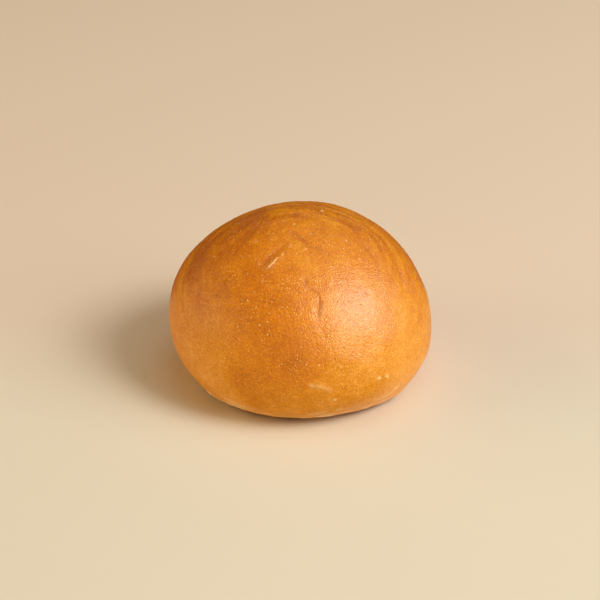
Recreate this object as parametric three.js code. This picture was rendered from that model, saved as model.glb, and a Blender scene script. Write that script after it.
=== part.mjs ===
// A soft round hamburger bun, baked whole: one solid with a domed crown, a side that tucks in and a flat base.
// Millimetres, +Z up. The origin is the middle of the base, and the bun's best side faces -Y.

import * as THREE from "three";
import { ParametricGeometry } from "three/addons/geometries/ParametricGeometry.js";
import { ImprovedNoise } from "three/addons/math/ImprovedNoise.js";
import { mergeVertices } from "three/addons/utils/BufferGeometryUtils.js";

// Main sizes
const DIAMETER = 105; // across the waist, the widest line
const HEIGHT = 68.5; // base to crown
const BASE_DIAMETER = 78.4; // the flat that the bun was baked on
const WAIST_HEIGHT = 22.7; // height of the waist above the base
const SKIRT_POWER = 1.9; // superellipse power of the side below the waist, where 2 is an ellipse
const EDGE_TUCK = 2; // how far the side curls in at the base's edge
const EDGE_HEIGHT = 4; // height over which that curl fades

// Departures from round, as dough shaped by hand has
const OVAL = 0.012; // share of the radius by which two opposite sides stand out
const OVAL_TURN = 25; // degrees from +X to the first of those sides
const LOBES = 0.01; // share of the radius by which three sides stand out
const LOBES_TURN = 71; // degrees from +X to the first of those sides
const WAIST_LEAN = -4.15; // rise of the waist on the +X side
const CROWN_SHIFT = 1; // shift of the crown towards +X

// Places where the foot of the side stands out, or in where the reach is negative. The turn is
// the direction in degrees from +X, and the spread is how wide the place is, in degrees.
const FOOT_BULGES = [
  { turn: -34, spread: 17, reach: 3.4 }, // where the dough sagged over the edge
  { turn: -73, spread: 16, reach: -1.2 }, // flat beside it
];

// Lumps left in the crust by the rise of the dough, as noise of a wavelength and a height
const LUMPS = [
  { wavelength: 30, height: 0.4 },
  { wavelength: 11, height: 0.2 },
];
const LUMP_FADE = 7; // height above the base where the relief reaches its full size

// Creases and folds in the crust. A path runs through points given as degrees round from +X
// and degrees down from the crown, where 90 is the waist. A negative rise is a valley.
const CREASES = [
  { path: [[238, 34], [242, 28], [248, 22]], width: 1.8, rise: -0.35 }, // valley of the pleat by the crown
  { path: [[244, 35], [248, 28], [256, 20]], width: 1.6, rise: 0.4 }, // lip of that pleat
  { path: [[255, 13], [279, 20], [294, 25]], width: 2, rise: -0.3 }, // curved crease at the crown
  { path: [[273, 40], [280, 47], [279, 55]], width: 1.6, rise: -0.3 }, // short split on the front
  { path: [[284, 75], [298, 81], [310, 87]], width: 4, rise: 0.4 }, // soft shoulder above the waist
];
const CREASE_STEPS = 24;

// Mesh density
const SEGMENTS = 120; // round the bun
const SKIRT_RINGS = 11; // from the base's edge to the waist
const DOME_RINGS = 36; // from the waist to the crown
const RINGS = 1 + SKIRT_RINGS + DOME_RINGS; // the first ring is the flat base
const QUARTER = Math.PI / 2;

const noise = new ImprovedNoise();

// Radius of the waist in one direction
function waistRadius(turn) {
  const oval = OVAL * Math.cos(2 * (turn - THREE.MathUtils.degToRad(OVAL_TURN)));
  const lobes = LOBES * Math.cos(3 * (turn - THREE.MathUtils.degToRad(LOBES_TURN)));
  return (DIAMETER / 2) * (1 + oval + lobes);
}

// Radius of the side's foot in one direction, before the edge curls in
function footRadius(turn) {
  let r = BASE_DIAMETER / 2 + EDGE_TUCK;
  for (const { turn: middle, spread, reach } of FOOT_BULGES) {
    const apart = THREE.MathUtils.euclideanModulo(THREE.MathUtils.radToDeg(turn) - middle + 180, 360) - 180;
    r += reach * Math.exp(-((apart / spread) ** 2));
  }
  return r;
}

// Share of the waist's radius that is left at a share of the way from the waist down to the base
function skirtShare(turn, way) {
  const foot = footRadius(turn) / (DIAMETER / 2);
  return (1 - (1 - foot ** SKIRT_POWER) * way ** SKIRT_POWER) ** (1 / SKIRT_POWER);
}

// A point of the smooth bun. The angle down is 0 at the crown, a quarter turn at the waist
// and a half turn at the base's edge.
function smoothPoint(turn, down) {
  const waist = WAIST_HEIGHT + WAIST_LEAN * Math.cos(turn);
  let r = waistRadius(turn);
  let z;
  if (down <= QUARTER) {
    r *= Math.sin(down);
    z = waist + (HEIGHT - waist) * Math.cos(down);
  } else {
    const way = (down - QUARTER) / QUARTER;
    z = waist * (1 - way);
    r = r * skirtShare(turn, way) - EDGE_TUCK * Math.exp(-z / EDGE_HEIGHT);
  }
  const shift = CROWN_SHIFT * (z / HEIGHT);
  return new THREE.Vector3(r * Math.cos(turn) + shift, r * Math.sin(turn), z);
}

// Points along each crease, evenly spaced on the smooth bun
const creases = CREASES.map(({ path, width, rise }) => {
  const knots = path.map(([turn, down]) =>
    smoothPoint(THREE.MathUtils.degToRad(turn), THREE.MathUtils.degToRad(down)),
  );
  return { points: new THREE.CatmullRomCurve3(knots).getSpacedPoints(CREASE_STEPS), width, rise };
});

// Height of the crust's relief over the smooth bun
function relief(point) {
  let height = 0;
  for (const lump of LUMPS) {
    const at = point.clone().divideScalar(lump.wavelength);
    height += lump.height * noise.noise(at.x, at.y, at.z);
  }
  for (const crease of creases) {
    const distance = Math.min(...crease.points.map((p) => p.distanceTo(point)));
    height += crease.rise * Math.exp(-((distance / crease.width) ** 2));
  }
  return height * THREE.MathUtils.smoothstep(point.z, 0, LUMP_FADE);
}

// The crust: u runs round the bun, and v from the middle of the base to the crown
function crustPoint(u, v, target) {
  const turn = u * 2 * Math.PI;
  const ring = Math.round(v * RINGS);
  if (ring === 0) {
    target.set(0, 0, 0);
    return;
  }
  const risen = ring - 1;
  const down =
    risen < SKIRT_RINGS
      ? Math.PI - QUARTER * (risen / SKIRT_RINGS)
      : QUARTER * (1 - (risen - SKIRT_RINGS) / DOME_RINGS);
  const point = smoothPoint(turn, down);
  const heart = new THREE.Vector3(0, 0, WAIST_HEIGHT);
  const outward = point.clone().sub(heart).normalize();
  target.copy(point.addScaledVector(outward, relief(point)));
}

// One closed mesh, with the middle of its box over the origin
function bunGeometry() {
  const sheet = new ParametricGeometry(crustPoint, SEGMENTS, RINGS);
  sheet.deleteAttribute("normal");
  sheet.deleteAttribute("uv");
  const geometry = mergeVertices(sheet);
  geometry.computeBoundingBox();
  const middle = geometry.boundingBox.getCenter(new THREE.Vector3());
  geometry.translate(-middle.x, -middle.y, 0);
  geometry.computeVertexNormals();
  return geometry;
}

const crust = new THREE.MeshStandardMaterial({ color: 0xd0802c, roughness: 0.45, metalness: 0 });

const bun = new THREE.Mesh(bunGeometry(), crust);
bun.name = "bun";

const part = new THREE.Group();
part.name = "hamburger_bun";
part.add(bun);

export default part;
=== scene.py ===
import math
import random

import bmesh
import bpy
import numpy as np
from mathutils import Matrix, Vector, kdtree, noise
from mathutils.bvhtree import BVHTree


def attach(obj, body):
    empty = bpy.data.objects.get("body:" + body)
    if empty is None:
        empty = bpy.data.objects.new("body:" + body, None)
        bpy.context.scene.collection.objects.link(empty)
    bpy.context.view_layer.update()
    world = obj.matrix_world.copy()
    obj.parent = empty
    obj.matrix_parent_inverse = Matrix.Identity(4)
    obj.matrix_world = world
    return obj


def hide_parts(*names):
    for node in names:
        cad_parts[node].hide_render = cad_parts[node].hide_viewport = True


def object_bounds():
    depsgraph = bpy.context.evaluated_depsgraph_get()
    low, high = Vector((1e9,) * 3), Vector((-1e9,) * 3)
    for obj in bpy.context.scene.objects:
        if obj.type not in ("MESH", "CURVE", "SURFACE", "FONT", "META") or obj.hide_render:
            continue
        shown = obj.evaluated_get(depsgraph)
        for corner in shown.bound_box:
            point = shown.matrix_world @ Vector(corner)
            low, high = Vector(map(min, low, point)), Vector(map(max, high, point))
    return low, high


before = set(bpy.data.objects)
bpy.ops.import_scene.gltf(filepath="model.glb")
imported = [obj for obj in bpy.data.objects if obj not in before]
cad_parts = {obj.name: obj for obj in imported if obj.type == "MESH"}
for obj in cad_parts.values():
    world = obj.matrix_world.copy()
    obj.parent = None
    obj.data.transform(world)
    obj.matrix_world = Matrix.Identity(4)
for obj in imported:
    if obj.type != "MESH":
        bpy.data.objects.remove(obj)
CAD_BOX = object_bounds()

MM = 0.001
HEIGHT = CAD_BOX[1][2] - CAD_BOX[0][2]
SEED = 7

# Camera, fitted to the outline in the photograph
PICTURE_PX = 600
SENSOR_MM = 36.0
LENS_MM = 97.1
CAMERA_DISTANCE = 0.65
CAMERA_ELEVATION = math.radians(30)
CAMERA_AIM = Vector((-0.2, 0.16, 30.95)) * MM
RIGHT = Vector((1, 0, 0))
UP = Vector((0, math.sin(CAMERA_ELEVATION), math.cos(CAMERA_ELEVATION)))
BACK = RIGHT.cross(UP)

# Lamps: name, direction as azimuth and elevation in degrees, distance in metres, width and height in
# metres, power in watts, and colour. The lights and the fills don't show in gloss. The fills light the
# crust alone, so that the gap under its edge stays dark. The shines show in the crust's gloss alone.
DAYLIGHT = (1.0, 1.0, 1.0)
WARM = (1.0, 0.80, 0.40)
LIGHTS = [
    ("key", (-28, 46), 2.4, (1.0, 1.0), 31.5, DAYLIGHT),
    ("side", (-2, 38), 2.4, (0.8, 0.8), 6.5, DAYLIGHT),
    ("window", (-28, 30), 2.3, (1.6, 1.1), 12.5, DAYLIGHT),
    ("top", (-20, 78), 2.4, (1.8, 1.8), 10.5, DAYLIGHT),
    ("wall", (-180, 24), 2.2, (2.4, 1.2), 16.0, WARM),
]
FILLS = [
    ("front", (-88, 6), 2.4, (2.4, 0.6), 14.5, DAYLIGHT),
    ("left", (-158, 16), 2.2, (3.4, 1.2), 14.0, WARM),
    ("right", (-42, 5), 2.2, (2.0, 0.6), 5.0, DAYLIGHT),
]
SHINES = [
    ("gloss", (-28, 36), 2.3, (2.5, 2.1), 92.0, DAYLIGHT),
    ("sheen", (-178, 9), 2.2, (3.0, 0.8), 6.0, DAYLIGHT),
    ("glint", (5, 9), 2.2, (2.2, 0.8), 2.5, DAYLIGHT),
    ("ceiling", (65, 60), 2.4, (2.2, 2.2), 7.0, DAYLIGHT),
]
ROOM_COLOUR = (1.0, 0.86, 0.55, 1)
ROOM_LIGHT = 0.18
BACKDROP = (0.72, 0.57, 0.41, 1)

# Floor, with its colours in front of the bun and behind it. The colour in front is painted light: greener
# and bluer, to offset the orange light that the bun throws onto the floor, and lighter in the shadow beside
# it.
FLOOR_NEAR = (0.785, 0.69, 0.535, 1)
FLOOR_FAR = (0.79, 0.63, 0.487, 1)
FLOOR_FADE = 40 * MM  # distance from the middle, in front and behind, at which each colour is full
FLOOR_HALF = 1.5
FLOOR_ROUGHNESS = 0.8
MIRRORED_FROM = -42 * MM  # gloss shows the floor from this line to the next alone
MIRRORED_TO = 75 * MM

# Crust mesh
HEART_SHARE = 0.55  # height of the point that the mesh is cast from, as a share of the bun's height
CUBE_CUTS = 127  # cuts along each edge of the cube that the mesh is made from
SMOOTHING_STEPS = 16  # rounds of smoothing that take the solid's facets away
BASE_FLAT = 0.2 * MM  # points lower than this lie on the base
EDGE_FADE = 3 * MM  # height over which the relief fades out towards the base

# Soft creases: width and rise in millimetres, tint, and path in pixels of the photograph. The tint is how
# much paler, or where it is negative how much browner, the crust gets along the crease.
CREASES = [
    # The first two follow the pleat: a browner valley that is painted shade on its far side, and a paler
    # ridge that is partly paler crust and partly painted highlight where it faces the lights.
    (1.5, -0.1, -0.35, [(262, 263), (272, 255), (284, 247)]),
    (1.1, 0.15, 0.15, [(264, 270), (269, 266), (279, 256)]),
    (0.9, -0.12, -0.3, [(293, 231), (298, 236), (304, 241), (311, 245), (328, 252)]),
    (0.9, -0.1, -0.5, [(306, 279), (307, 285)]),
    (1.6, 0.2, 0.0, [(314, 290), (320, 300), (320, 316)]),
    (0.8, -0.1, -0.6, [(320, 298), (320, 306)]),
    (1.0, 0.2, 0.35, [(312, 386), (322, 387), (333, 391)]),
    (0.7, 0.1, 0.5, [(309, 385), (314, 386)]),
    # The last four are pale strokes along the foot: partly paler crust and partly painted light where the
    # rim catches light from the floor.
    (1.6, 0.1, 0.8, [(222, 397), (231, 402), (241, 406), (250, 409)]),
    (1.3, 0.1, 0.7, [(308, 415), (316, 414), (326, 412)]),
    (1.2, 0.1, 0.6, [(336, 410), (344, 409)]),
    (1.2, 0.1, 0.5, [(376, 400), (386, 396), (396, 389)]),
]

# Thin lines: mark, strength, and path in pixels of the photograph. A lip is pale and raised, as along the
# pleat and beside the crack on the front, its paleness partly painted highlight where it faces the lights,
# and a crack is dark and sunk. The two cracks beside the pleat's lip also paint the shade on its far side.
LINES = [
    ("lip", 1.0, [(268, 268), (271, 265), (274, 261), (277, 258)]),
    ("lip", 0.4, [(281, 256), (283, 254), (285, 251)]),
    ("lip", 0.4, [(288, 248), (290, 246), (292, 243)]),
    ("crack", 0.6, [(261, 266), (266, 260), (274, 253)]),
    ("crack", 0.45, [(275, 252), (282, 247), (289, 242)]),
    ("crack", 0.9, [(306, 278), (307, 287)]),
    ("crack", 0.7, [(309, 288), (314, 290), (318, 294)]),
    ("crack", 1.1, [(318, 294), (320, 299), (320, 306), (319, 312), (319, 318)]),
    ("lip", 0.75, [(323, 303), (322, 309), (322, 315)]),
    ("crack", 0.7, [(294, 232), (298, 236), (304, 241), (311, 246), (319, 249), (327, 252)]),
]
LINE_REACH = 1.6 * MM  # how far on either side a line's marks are kept
NO_LINE = 10 * LINE_REACH  # distance that is noted where no line is near
PATH_STEPS = 40  # points along the path of a crease or line
PATH_ENDS = (0.03, 0.97)  # part of a half wave that a path swells and tapers by
PATH_WIDTHS = 4  # a path's shape is worked out this many widths away

# Browner and paler patches: pixel of the photograph, radius in millimetres, and how much browner
PATCHES = [
    ((272, 325), 20, 0.3),
    ((257, 267), 7, 0.2),
    ((246, 300), 9, 0.1),
    ((262, 332), 9, 0.15),
    ((287, 354), 9, 0.2),
    ((242, 381), 6, 0.5),
    ((300, 384), 8, 0.15),
    ((310, 262), 8, -0.15),
    ((227, 262), 6, -0.15),
    ((203, 352), 14, -0.35),
    ((215, 385), 10, -0.2),
    ((395, 355), 18, -0.4),
    # The browner patches at (402, 262), (198, 262), (232, 228), (215, 250), (246, 224), (258, 221), (272,
    # 214) and (200, 276) lie round the crown's upper edge: partly browner crust and partly painted shade
    # where it turns away from the lights.
    ((402, 262), 9, 0.2),
    ((198, 262), 9, 0.3),
    ((232, 228), 14, 0.35),
    ((215, 250), 12, 0.15),
    ((278, 388), 14, 0.2),
    ((246, 224), 10, 0.45),
    ((258, 221), 9, 0.3),
    ((272, 214), 8, 0.25),
    ((250, 290), 26, 0.12),
    # These two paler patches are a painted highlight on the face right of the crack, which turns to the
    # lights.
    ((322, 310), 7, -0.3),
    ((326, 332), 7, -0.25),
    ((200, 276), 10, 0.3),
    ((405, 300), 14, -0.1),
]

# Blisters: pixel of the photograph, with radius and rise in millimetres
BLISTERS = [
    ((379, 378), 0.7, 0.35),
    ((387, 376), 0.7, 0.35),
    ((395, 388), 0.6, 0.3),
    ((398, 386), 0.6, 0.3),
    ((371, 404), 0.6, 0.3),
    ((335, 400), 0.6, 0.25),
    ((322, 211), 0.65, 0.3),
    ((294, 224), 0.45, 0.2),
]
BLISTER_PALE = 1.5  # how pale such a blister is
BLISTER_PALE_SHARE = 0.9  # radius of that paleness over the blister's own
DAB_RADII = 2.2  # a round mark is worked out this many radii away

# Blisters and pits scattered by chance: how many, and the least and the most of each measure, with radius,
# rise and depth in millimetres
SCATTERED_BLISTERS = 50
SCATTERED_PITS = 60
SPOT_RADIUS = (0.45, 0.7)
SPOT_RISE = (0.1, 0.25)
SPOT_PALE = (0.2, 0.5)
PIT_DEPTH = (0.12, 0.25)
PIT_BROWN = (0.3, 0.7)

# Relief all over the crust: wavelength and height in millimetres
WAVES = [(14.0, 0.08), (6.0, 0.07), (3.2, 0.05), (1.7, 0.035)]

# Browning: how brown the foot is, how much is added up to the crown, over which shares of the height, and
# clouds of a wavelength in millimetres and an amount
FOOT_BROWN = -0.3
CROWN_BROWNER = 0.65
BROWNING_HEIGHTS = (0.0, 0.7)
CLOUDS = [(24, 0.3), (10, 0.25), (5, 0.2)]

# Shallow folds that run round the crown where it turns to the sides and the back, as the bun sinks a little
# when it cools: width and depth in millimetres. The heights are shares of the bun's height, and facing
# is 1 where the crust faces the front and -1 where it faces away.
FOLDS = [(7.0, 0.1), (3.5, 0.15), (2.0, 0.1)]
FOLD_TINT = 0.55  # how much browner the folds' hollows are and paler their ridges, partly painted shade and light
FOLD_HEIGHTS = (0.4, 0.6)
FOLD_FACING = (0.45, 0.8)
BACK_FACING = (-0.4, 0.1)
BACK_FOLDS = 0.3  # how deep the folds are at the back, as a share of those at the sides
FOLD_STRETCH = 6  # length of a fold over its width
CROWN_RADIUS = 50 * MM
STREAK_AXIS = np.array((0, -0.5, 0.866))  # the folds run round a line that leans to the front
TURNED_PAINTED_SHEEN = 0.12  # painted sheen: how much less brown the crown is where it turns away from the front
TURNED_HEIGHTS = (0.5, 0.75)
TURNED_FACING = (0.1, 0.6)

# The base's edge: it stands a little off the floor, to an uneven height, with a paler rim above it that is
# partly paler crust and partly painted light
EDGE_LIFT = 1.2 * MM
EDGE_REACH = 7 * MM  # how far in from the edge the base starts to lift
EDGE_RISE = 2 * MM  # height above the edge over which the lift fades out
EDGE_BINS = 180  # directions that the edge's radius is taken in
EDGE_WAVES = [(9, 0.6), (4, 0.6), (2.3, 0.45)]  # wavelength in millimetres, and share of the lift
EDGE_LEAST = 0.15  # the least share of the lift
RIM_HEIGHT = 3.5 * MM
RIM_WIDTH = 1.2 * MM
RIM_BULGE = 0.65 * MM
RIM_TINT_WIDTH = 2.4 * MM
RIM_PALE = 0.3
RIM_PATCH_PALE = 0.75  # how much paler the rim's patches are
RIM_PATCH_MM = 6
RIM_PATCH_NOISE = (-0.05, 0.3)
FOOT_PALER = 0.5  # how much less brown the side gets towards the edge
FOOT_HEIGHT = 12 * MM  # height below which it does
TOASTED_AND_GAP_SHADE = 1.9  # how much browner the underside is: toasted, and in its lowest visible band painted shade of the gap under the edge
TOASTED_AND_SHADE_HEIGHTS = (1 * MM, 2 * MM)  # where that starts to fade, and where it ends

# Crust colours
STRAW = (0.74, 0.29, 0.03, 1)
GOLDEN = (0.635, 0.223, 0.002, 1)
AMBER = (0.58, 0.172, 0.001, 1)
BROWN = (0.42, 0.105, 0.001, 1)
PALE = (0.89, 0.58, 0.25, 1)
# The fleck colour is partly pale flecks in the crust and partly painted glints on its fine grain
FLECK = (0.88, 0.48, 0.11, 1)
DARK_PORE = (0.33, 0.07, 0.002, 1)
CRACKED = (0.4, 0.11, 0.0, 1)
BROWNING_STEPS = [(-0.5, 0.0, GOLDEN), (0.0, 0.5, AMBER), (0.5, 1.3, BROWN)]  # from straw on

# Patterns in the crust's material: wavelength in millimetres, and detail
CLOUD = (3.0, 3.0)
GRAIN = (0.85, 1.0)
DUST = (0.6, 0.0)
CRAZE = (1.7, 1.0)
WRINKLES = (5.0, 2.0)
WRINKLE_GAPS = (8.0, 1.0)
CROWDS = (6.0, 1.0)
NOISE_SPAN = (0.3, 0.7)  # the noise that counts as -1 and as 1
NOISE_MIDDLE = 0.5
WRINKLE_SPAN = (0.12, 0.02)  # distances from the middle at which a wrinkle starts and is full
GAP_SPAN = (0.3, 0.55)
CROWD_SPAN = (0.4, 0.6)
CROWD_SHARES = (0.35, 1.25)  # strength of the flecks where they are sparse and where they crowd
FLECKS = {"size_mm": 0.95, "channel": "Red", "rarity": 0.1, "radius": 0.3}
SPECKS = {"size_mm": 2.4, "channel": "Green", "rarity": 0.6, "radius": 0.15}
PORES = {"size_mm": 2.0, "channel": "Blue", "rarity": 0.6, "radius": 0.2}

# How much each pattern browns the crust, and how far each mark's colour covers it
CLOUD_BROWN = 0.2
GRAIN_BROWN = 0.3
# The wrinkles' browning is partly browner crust and partly painted shade in their sunk lines.
WRINKLE_BROWN = 0.48
DUST_TONE = 0.08
FLECK_COVER = 0.85
SPECK_COVER = 0.9
PORE_COVER = 0.8
PALE_COVER = 0.75
LIP_COVER = 0.75
CRACK_COVER = 0.9

# Thin lines: distances from the middle at which they start and are full, and how far they fray
LIP_SPAN = (0.5 * MM, 0.1 * MM)
CRACK_SPAN = (0.8 * MM, 0.25 * MM)
CLOUD_FRAY = 0.3 * MM
GRAIN_FRAY = 0.25 * MM

# Gloss, and fine bumps in millimetres
ROUGHNESS = (0.34, 0.46)
WRINKLE_ROUGHER = 0.2
CRACK_ROUGHER = 0.5
BUMPS = {
    "grain": 0.018,
    "craze": 0.012,
    "wrinkle": -0.08,
    "dust": 0.026,
    "flecks": 0.05,
    "specks": 0.08,
    "pores": -0.1,
    "lip": 0.12,
    "crack": -0.1,
}


def sight(x, y):
    """Start and direction of the line of sight through a pixel of the photograph."""
    step = SENSOR_MM / LENS_MM / PICTURE_PX
    across = (x - PICTURE_PX / 2) * step
    down = (y - PICTURE_PX / 2) * step
    direction = RIGHT * across - UP * down - BACK
    return CAMERA_AIM + BACK * CAMERA_DISTANCE, direction.normalized()


def solid_tree():
    """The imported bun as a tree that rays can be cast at."""
    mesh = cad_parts["bun"].data
    points = [v.co for v in mesh.vertices]
    faces = [tuple(p.vertices) for p in mesh.polygons]
    return BVHTree.FromPolygons(points, faces)


def seen_at(tree, pixel):
    """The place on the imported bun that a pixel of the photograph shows."""
    return tree.ray_cast(*sight(*pixel))[0]


def round_cube():
    """A cube of fine quads, its points turned into even directions on a sphere."""
    work = bmesh.new()
    bmesh.ops.create_cube(work, size=2)
    bmesh.ops.subdivide_edges(work, edges=work.edges[:], cuts=CUBE_CUTS, use_grid_fill=True)
    for v in work.verts:
        v.co = Vector(math.tan(c * math.pi / 4) for c in v.co).normalized()
    mesh = bpy.data.meshes.new("bun_crust")
    work.to_mesh(mesh)
    work.free()
    return mesh


def normals_of(mesh):
    flat = np.empty(len(mesh.vertices) * 3)
    mesh.vertex_normals.foreach_get("vector", flat)
    return flat.reshape(-1, 3)


def set_points(mesh, points):
    mesh.vertices.foreach_set("co", points.ravel())
    mesh.update()


def smoothed(mesh, points):
    """Points moved to the mean of their neighbours, a few times, with the flat base held."""
    ends = np.empty(len(mesh.edges) * 2, dtype=np.int32)
    mesh.edges.foreach_get("vertices", ends)
    a, b = ends.reshape(-1, 2).T
    count = np.bincount(ends, minlength=len(points))[:, None]
    held = points[:, 2] < BASE_FLAT
    for _ in range(SMOOTHING_STEPS):
        mean = np.empty_like(points)
        for axis in range(3):
            mean[:, axis] = np.bincount(a, points[b, axis], len(points))
            mean[:, axis] += np.bincount(b, points[a, axis], len(points))
        points = (points + mean / count) / 2
        points[held, 2] = 0
    return points


def noise_at(points, wavelength_mm):
    size = wavelength_mm * MM
    return np.array([noise.noise(Vector(p) / size) for p in points])


def smoothstep(low, high, values):
    t = np.clip((values - low) / (high - low), 0, 1)
    return t * t * (3 - 2 * t)


def round_crown(points):
    """Places in a space where noise comes out as streaks that run round the crown."""
    outward = points - (0, 0, HEIGHT - CROWN_RADIUS)
    along = outward @ STREAK_AXIS
    across = outward - np.outer(along, STREAK_AXIS)
    ring = np.linalg.norm(across, axis=1)
    round_it = across / np.maximum(ring, MM)[:, None] / FOLD_STRETCH
    return (round_it + np.outer(np.arctan2(ring, along), STREAK_AXIS)) * CROWN_RADIUS


def path_on_crust(tree, path):
    """Evenly spread points along a path of pixels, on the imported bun."""
    knots = np.array([seen_at(tree, pixel) for pixel in path])
    steps = np.linspace(0, len(knots) - 1, PATH_STEPS)
    return np.stack([np.interp(steps, range(len(knots)), knots[:, axis]) for axis in range(3)], axis=1)


def near_path(points, course, reach):
    """Points within reach of a path: their offsets, distances and steps along it, and its taper there."""
    middle = course.mean(axis=0)
    reach += np.linalg.norm(course - middle, axis=1).max()
    near = np.flatnonzero(np.linalg.norm(points - middle, axis=1) < reach)
    offset = points[near, None] - course[None]
    apart = np.linalg.norm(offset, axis=2)
    step = apart.argmin(axis=1)
    taper = np.sqrt(np.sin(math.pi * np.linspace(*PATH_ENDS, PATH_STEPS)))[step]
    return near, offset[range(len(near)), step], apart.min(axis=1), step, taper


def crease_shape(points, course, width):
    """One crease as a share from 0 to 1 at each point: soft across, and tapered at both ends."""
    near, _, apart, _, taper = near_path(points, course, PATH_WIDTHS * width)
    shape = np.zeros(len(points))
    shape[near] = taper * np.exp(-(apart / width) ** 2)
    return shape


def draw_line(points, course, strength, across, marks):
    """Notes how far each point lies to the right of a thin line, and where the line is."""
    near, offset, apart, step, taper = near_path(points, course, PATH_WIDTHS * LINE_REACH)
    right = np.cross(np.gradient(course, axis=0), np.array(BACK))[step]
    side = np.sign((offset * right).sum(axis=1)) * apart
    closer = apart < np.abs(across[near])
    across[near[closer]] = side[closer]
    marks[near] += strength * taper * np.exp(-(apart / LINE_REACH) ** 2)


class Dabs:
    """Small round marks on the crust, each added to a list with one value for each point."""

    def __init__(self, points):
        self.finder = kdtree.KDTree(len(points))
        for i, p in enumerate(points):
            self.finder.insert(p, i)
        self.finder.balance()

    def add(self, values, at, radius_mm, amount):
        radius = radius_mm * MM
        for _, i, apart in self.finder.find_range(at, DAB_RADII * radius):
            values[i] += amount * math.exp(-(apart / radius) ** 2)


def browning(points):
    """How brown the crust is at each point: most on the crown, least low on the side."""
    brown = FOOT_BROWN + CROWN_BROWNER * smoothstep(*BROWNING_HEIGHTS, points[:, 2] / HEIGHT)
    for wavelength, amount in CLOUDS:
        brown += amount * noise_at(points, wavelength)
    return brown


def near_rim(points, width):
    return np.exp(-((points[:, 2] - RIM_HEIGHT) / width) ** 2)


def rim_paleness(points):
    """The thin paler rim above the base's edge, in patches: partly paler crust and partly painted light."""
    patches = smoothstep(*RIM_PATCH_NOISE, noise_at(points, RIM_PATCH_MM))
    return near_rim(points, RIM_TINT_WIDTH) * (RIM_PALE + RIM_PATCH_PALE * patches)


def edge_offset(points):
    """How far the base's outer ring and the foot of the side lift off the floor, and the rim bulges out."""
    radius = np.linalg.norm(points[:, :2], axis=1)
    turn = np.arctan2(points[:, 1], points[:, 0])
    bins = np.round((turn / math.tau + 0.5) * EDGE_BINS).astype(int) % EDGE_BINS
    flat = points[:, 2] < BASE_FLAT
    edge = np.zeros(EDGE_BINS)
    np.maximum.at(edge, bins[flat], radius[flat])
    outer = np.clip(1 - (edge[bins] - radius) / EDGE_REACH, 0, 1)
    uneven = np.ones(len(points))
    for wavelength, share in EDGE_WAVES:
        uneven += share * noise_at(points, wavelength)
    uneven = np.maximum(uneven, EDGE_LEAST)
    offset = points * (1, 1, 0) / np.maximum(radius, MM)[:, None]
    offset *= (RIM_BULGE * uneven * outer * near_rim(points, RIM_WIDTH))[:, None]
    offset[:, 2] = EDGE_LIFT * uneven * outer ** 2 * np.exp(-points[:, 2] / EDGE_RISE)
    return offset


def scatter_spots(points, dabs, relief, pale, brown):
    """Small pale blisters, and then small brown pits, at points that are chosen by chance."""
    chance = random.Random(SEED)
    for _ in range(SCATTERED_BLISTERS):
        at = points[chance.randrange(len(points))]
        radius = chance.uniform(*SPOT_RADIUS)
        dabs.add(relief, at, radius, chance.uniform(*SPOT_RISE) * MM)
        dabs.add(pale, at, radius, chance.uniform(*SPOT_PALE))
    for _ in range(SCATTERED_PITS):
        at = points[chance.randrange(len(points))]
        radius = chance.uniform(*SPOT_RADIUS)
        dabs.add(relief, at, radius, -chance.uniform(*PIT_DEPTH) * MM)
        dabs.add(brown, at, radius, chance.uniform(*PIT_BROWN))


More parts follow.
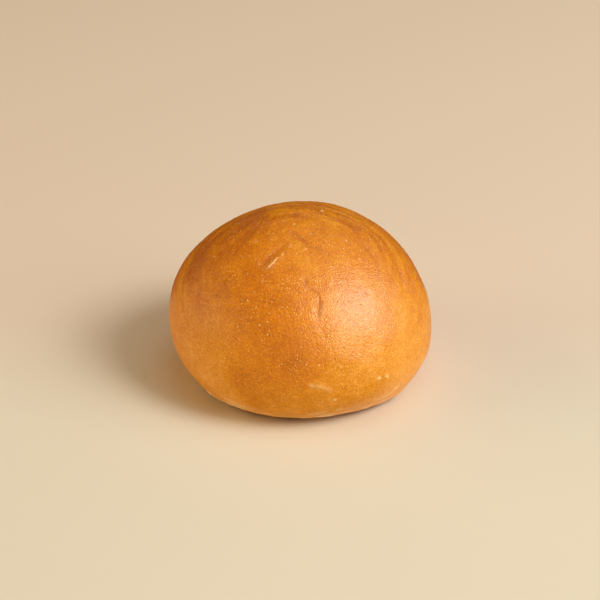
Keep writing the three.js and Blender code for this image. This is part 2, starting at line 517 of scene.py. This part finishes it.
def bun_crust():
    """The crust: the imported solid, smoothed, with the relief and tints that are finer than its facets."""
    tree = solid_tree()
    heart = Vector((0, 0, HEIGHT * HEART_SHARE))
    mesh = round_cube()
    points = np.array([tree.ray_cast(heart, v.co)[0] for v in mesh.vertices])
    points = smoothed(mesh, points)
    set_points(mesh, points)
    normals = normals_of(mesh)
    facing = normals @ BACK
    above = points[:, 2]
    relief = np.zeros(len(points))
    pale = np.zeros(len(points))
    brown = browning(points)

    # Folds round the crown
    turned = smoothstep(*TURNED_HEIGHTS, above / HEIGHT) * (1 - smoothstep(*TURNED_FACING, facing))
    wrinkled = smoothstep(*FOLD_HEIGHTS, above / HEIGHT) * (1 - smoothstep(*FOLD_FACING, facing))
    wrinkled *= BACK_FOLDS + (1 - BACK_FOLDS) * smoothstep(*BACK_FACING, facing)
    streaks = round_crown(points)
    # Painted sheen where the crown turns away from the front
    brown -= TURNED_PAINTED_SHEEN * turned
    for width, depth in FOLDS:
        fold = wrinkled * noise_at(streaks, width)
        relief -= depth * MM * fold
        # Partly the crust's own browning and partly painted shade and light: browner in the hollows, paler
        # on the ridges
        brown += FOLD_TINT * fold

    # Creases and thin lines
    for width, rise, tint, path in CREASES:
        shape = crease_shape(points, path_on_crust(tree, path), width * MM)
        relief += rise * MM * shape
        pale += max(tint, 0) * shape
        brown += max(-tint, 0) * shape
    across = np.full(len(points), NO_LINE)
    marks = {"lip": np.zeros(len(points)), "crack": np.zeros(len(points))}
    for mark, strength, path in LINES:
        draw_line(points, path_on_crust(tree, path), strength, across, marks[mark])

    # Patches, blisters and pits
    dabs = Dabs(points)
    for pixel, radius, amount in PATCHES:
        dabs.add(brown, seen_at(tree, pixel), radius, amount)
    for pixel, radius, rise in BLISTERS:
        dabs.add(relief, seen_at(tree, pixel), radius, rise * MM)
        dabs.add(pale, seen_at(tree, pixel), BLISTER_PALE_SHARE * radius, BLISTER_PALE)
    scatter_spots(points, dabs, relief, pale, brown)

    # Relief all over, and the foot and the underside
    for wavelength, height in WAVES:
        relief += height * MM * noise_at(points, wavelength)
    relief *= smoothstep(0, EDGE_FADE, above)
    # The paler rim, partly painted light
    pale += rim_paleness(points)
    brown -= FOOT_PALER * (1 - smoothstep(0, FOOT_HEIGHT, above))
    # The underside browner: toasted, and up to just above the floor painted shade of the gap under the edge
    brown += TOASTED_AND_GAP_SHADE * (1 - smoothstep(*TOASTED_AND_SHADE_HEIGHTS, above))
    set_points(mesh, points + normals * relief[:, None] + edge_offset(points))
    mesh.shade_smooth()
    # The brown and pale values hold painted shade and light as well as the crust's own colour: in the
    # folds, along the pleat, round the crown's edge, at the rim and at the underside's edge.
    values = {"brown": brown, "wrinkled": wrinkled, "pale": pale, "across": across, **marks}
    for name, value in values.items():
        mesh.attributes.new(name, "FLOAT", "POINT").data.foreach_set("value", value)
    mesh.attributes.new("streaks", "FLOAT_VECTOR", "POINT").data.foreach_set("vector", streaks.ravel())
    crust = bpy.data.objects.new("bun_crust", mesh)
    bpy.context.scene.collection.objects.link(crust)
    return crust


class Nodes:
    """Short ways to add shader nodes to one material and to join them."""

    def __init__(self, name):
        self.material = bpy.data.materials.new(name)
        self.material.use_nodes = True
        self.tree = self.material.node_tree
        self.shader = self.tree.nodes["Principled BSDF"]

    def put(self, socket, value):
        if isinstance(value, bpy.types.NodeSocket):
            self.tree.links.new(value, socket)
        else:
            socket.default_value = value

    def add(self, kind, inputs, **settings):
        node = self.tree.nodes.new(kind)
        for key, value in settings.items():
            setattr(node, key, value)
        for key, value in inputs.items():
            self.put(node.inputs[key], value)
        return node

    def position(self):
        return self.add("ShaderNodeTexCoord", {}).outputs["Object"]

    def value(self, name):
        return self.add("ShaderNodeAttribute", {}, attribute_name=name).outputs["Fac"]

    def places(self, name):
        return self.add("ShaderNodeAttribute", {}, attribute_name=name).outputs["Vector"]

    def noise(self, place, wavelength_mm, detail):
        inputs = {"Vector": place, "Scale": 1 / (wavelength_mm * MM), "Detail": detail}
        return self.add("ShaderNodeTexNoise", inputs).outputs["Fac"]

    def swing(self, place, wavelength_mm, detail):
        """Noise that runs from -1 to 1."""
        return self.ramp(self.noise(place, wavelength_mm, detail), *NOISE_SPAN, -1.0, 1.0)

    def cells(self, place, size_mm, output):
        inputs = {"Vector": place, "Scale": 1 / (size_mm * MM)}
        return self.add("ShaderNodeTexVoronoi", inputs).outputs[output]

    def dots(self, place, size_mm, channel, rarity, radius):
        """Small dots, one in each cell that is chosen by chance, of varied strength."""
        near = self.cells(place, size_mm, "Distance")
        split = self.add("ShaderNodeSeparateColor", {"Color": self.cells(place, size_mm, "Color")})
        chance = self.ramp(split.outputs[channel], rarity, (1 + rarity) / 2)
        return self.math("MULTIPLY", self.ramp(near, radius, radius / 4), chance)

    def ramp(self, value, low, high, to_low=0.0, to_high=1.0):
        inputs = {"Value": value, "From Min": low, "From Max": high, "To Min": to_low, "To Max": to_high}
        return self.add("ShaderNodeMapRange", inputs).outputs["Result"]

    def math(self, operation, a, b=0.0, c=0.0):
        return self.add("ShaderNodeMath", {0: a, 1: b, 2: c}, operation=operation).outputs["Value"]

    def mix(self, share, a, b):
        """Two colours mixed. A Mix node's colours are its inputs 6 and 7 and its output 2."""
        inputs = {"Factor": share, 6: a, 7: b}
        return self.add("ShaderNodeMix", inputs, data_type="RGBA").outputs[2]

    def scaled(self, colour, tone):
        inputs = {0: colour, "Scale": tone}
        return self.add("ShaderNodeVectorMath", inputs, operation="SCALE").outputs["Vector"]


def wrinkles(n, place):
    """Thin broken lines that run round the crown, as a share from 0 to 1."""
    wave = n.math("SUBTRACT", n.noise(n.places("streaks"), *WRINKLES), NOISE_MIDDLE)
    line = n.ramp(n.math("ABSOLUTE", wave), *WRINKLE_SPAN)
    broken = n.math("MULTIPLY", n.ramp(n.noise(place, *WRINKLE_GAPS), *GAP_SPAN), n.value("wrinkled"))
    return n.math("MULTIPLY", line, broken)


def crust_material():
    """The egg-washed crust: browned unevenly, partly with painted shade and light, with wrinkles, dots,
    thin lines, gloss and fine bumps.
    """
    n = Nodes("crust")
    place = n.position()
    cloud = n.swing(place, *CLOUD)
    grain = n.swing(place, *GRAIN)
    dust = n.swing(place, *DUST)
    craze = n.swing(place, *CRAZE)
    wrinkle = wrinkles(n, place)
    brown = n.value("brown")
    for pattern, amount in ((cloud, CLOUD_BROWN), (grain, GRAIN_BROWN), (wrinkle, WRINKLE_BROWN)):
        brown = n.math("MULTIPLY_ADD", pattern, amount, brown)
    colour = STRAW
    for low, high, browner in BROWNING_STEPS:
        colour = n.mix(n.ramp(brown, low, high), colour, browner)

    # Pale flecks and specks, and dark pores: small dots of varied strength in the cells of three patterns.
    # The flecks are partly pale crust and partly painted glints.
    crowded = n.ramp(n.noise(place, *CROWDS), *CROWD_SPAN, *CROWD_SHARES)
    flecks = n.math("MULTIPLY", n.dots(place, **FLECKS), crowded)
    specks = n.dots(place, **SPECKS)
    pores = n.dots(place, **PORES)
    colour = n.mix(n.math("MULTIPLY", flecks, FLECK_COVER), colour, FLECK)
    colour = n.mix(n.math("MULTIPLY", specks, SPECK_COVER), colour, PALE)
    colour = n.mix(n.math("MULTIPLY", pores, PORE_COVER), colour, DARK_PORE)
    colour = n.mix(n.ramp(n.value("pale"), 0.0, 1.0, 0.0, PALE_COVER), colour, PALE)
    colour = n.scaled(colour, n.math("MULTIPLY_ADD", dust, DUST_TONE, 1.0))

    # Thin lines, frayed by the clouds and the grain: the pale lips and the dark cracks
    frayed = n.math("MULTIPLY_ADD", cloud, CLOUD_FRAY, n.value("across"))
    frayed = n.math("ABSOLUTE", n.math("MULTIPLY_ADD", grain, GRAIN_FRAY, frayed))
    lip = n.math("MULTIPLY", n.ramp(frayed, *LIP_SPAN), n.value("lip"))
    crack = n.math("MULTIPLY", n.ramp(frayed, *CRACK_SPAN), n.value("crack"))
    colour = n.mix(n.ramp(lip, 0.0, 1.0, 0.0, LIP_COVER), colour, PALE)
    colour = n.mix(n.ramp(crack, 0.0, 1.0, 0.0, CRACK_COVER), colour, CRACKED)
    n.put(n.shader.inputs["Base Color"], colour)

    # Gloss, duller in the wrinkles and the cracks
    rough = n.ramp(craze, -1.0, 1.0, *ROUGHNESS)
    rough = n.math("MULTIPLY_ADD", wrinkle, WRINKLE_ROUGHER, rough)
    n.put(n.shader.inputs["Roughness"], n.math("MULTIPLY_ADD", crack, CRACK_ROUGHER, rough))

    # Fine bumps: crazed grain, with the dots and the lips raised and the pores, wrinkles and cracks sunk
    patterns = {
        "grain": grain,
        "craze": craze,
        "wrinkle": wrinkle,
        "dust": dust,
        "flecks": flecks,
        "specks": specks,
        "pores": pores,
        "lip": lip,
        "crack": crack,
    }
    height = 0.0
    for name, rise in BUMPS.items():
        height = n.math("MULTIPLY_ADD", patterns[name], rise * MM, height)
    bump = n.add("ShaderNodeBump", {"Height": height, "Distance": 1.0, "Strength": 1.0})
    n.put(n.shader.inputs["Normal"], bump.outputs["Normal"])
    return n.material


def floor(name, near, far):
    """One strip of the wide even surface that the bun stands on, for the picture only, with painted light
    near the bun.
    """
    mesh = bpy.data.meshes.new(name)
    h = FLOOR_HALF
    mesh.from_pydata([(-h, near, 0), (h, near, 0), (h, far, 0), (-h, far, 0)], [], [(0, 1, 2, 3)])
    ground = bpy.data.objects.new(name, mesh)
    n = Nodes(name)
    depth = n.add("ShaderNodeSeparateXYZ", {"Vector": n.position()}).outputs["Y"]
    # Painted light: the colour in front of the bun offsets the orange light that the bun throws onto the
    # floor
    colour = n.mix(n.ramp(depth, -FLOOR_FADE, FLOOR_FADE), FLOOR_NEAR, FLOOR_FAR)
    n.put(n.shader.inputs["Base Color"], colour)
    n.shader.inputs["Roughness"].default_value = FLOOR_ROUGHNESS
    mesh.materials.append(n.material)
    bpy.context.scene.collection.objects.link(ground)
    return ground


def soft_light(name, way, distance, size, power, colour, shines):
    """A soft lamp that looks at the bun from a direction, given as azimuth and elevation."""
    data = bpy.data.lights.new(name, "AREA")
    data.shape = "ELLIPSE"
    data.size, data.size_y = size
    data.energy = power
    data.color = colour
    lamp = bpy.data.objects.new(name, data)
    a, e = (math.radians(angle) for angle in way)
    towards = Vector((math.cos(e) * math.cos(a), math.cos(e) * math.sin(a), math.sin(e)))
    lamp.location = towards * distance
    lamp.rotation_euler = towards.to_track_quat("Z", "Y").to_euler()
    lamp.visible_glossy = shines
    lamp.visible_diffuse = not shines
    bpy.context.scene.collection.objects.link(lamp)
    return lamp


def camera():
    data = bpy.data.cameras.new("camera")
    data.sensor_width = SENSOR_MM
    data.lens = LENS_MM
    eye = bpy.data.objects.new("camera", data)
    eye.location = CAMERA_AIM + BACK * CAMERA_DISTANCE
    eye.rotation_euler = BACK.to_track_quat("Z", "Y").to_euler()
    bpy.context.scene.collection.objects.link(eye)
    bpy.context.scene.camera = eye


def surroundings():
    """Plain dim room light from all sides, with a pale backdrop behind the floor."""
    world = bpy.data.worlds.new("world")
    world.use_nodes = True
    nodes = world.node_tree.nodes
    links = world.node_tree.links
    room = nodes["Background"]
    room.inputs["Color"].default_value = ROOM_COLOUR
    room.inputs["Strength"].default_value = ROOM_LIGHT
    backdrop = nodes.new("ShaderNodeBackground")
    backdrop.inputs["Color"].default_value = BACKDROP
    either = nodes.new("ShaderNodeMixShader")
    seen = nodes.new("ShaderNodeLightPath").outputs["Is Camera Ray"]
    for socket, output in enumerate((seen, room.outputs[0], backdrop.outputs[0])):
        links.new(output, either.inputs[socket])
    links.new(either.outputs[0], nodes["World Output"].inputs["Surface"])
    world.cycles_visibility.glossy = False
    bpy.context.scene.world = world
    bpy.context.scene.view_settings.view_transform = "Standard"


camera()
surroundings()
for lamp in LIGHTS:
    soft_light(*lamp, shines=False)
crust = bun_crust()
crust.data.materials.append(crust_material())
crust_only = bpy.data.collections.new("crust_only")
crust_only.objects.link(crust)
for lamp in FILLS:
    soft_light(*lamp, shines=False).light_linking.receiver_collection = crust_only
for lamp in SHINES:
    soft_light(*lamp, shines=True).light_linking.receiver_collection = crust_only
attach(crust, "root")
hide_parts("bun")

# The foot and the crown's far edge would mirror the outer strips as milky lines
floor("floor_front", -FLOOR_HALF, MIRRORED_FROM).visible_glossy = False
floor("floor_middle", MIRRORED_FROM, MIRRORED_TO)
floor("floor_back", MIRRORED_TO, FLOOR_HALF).visible_glossy = False
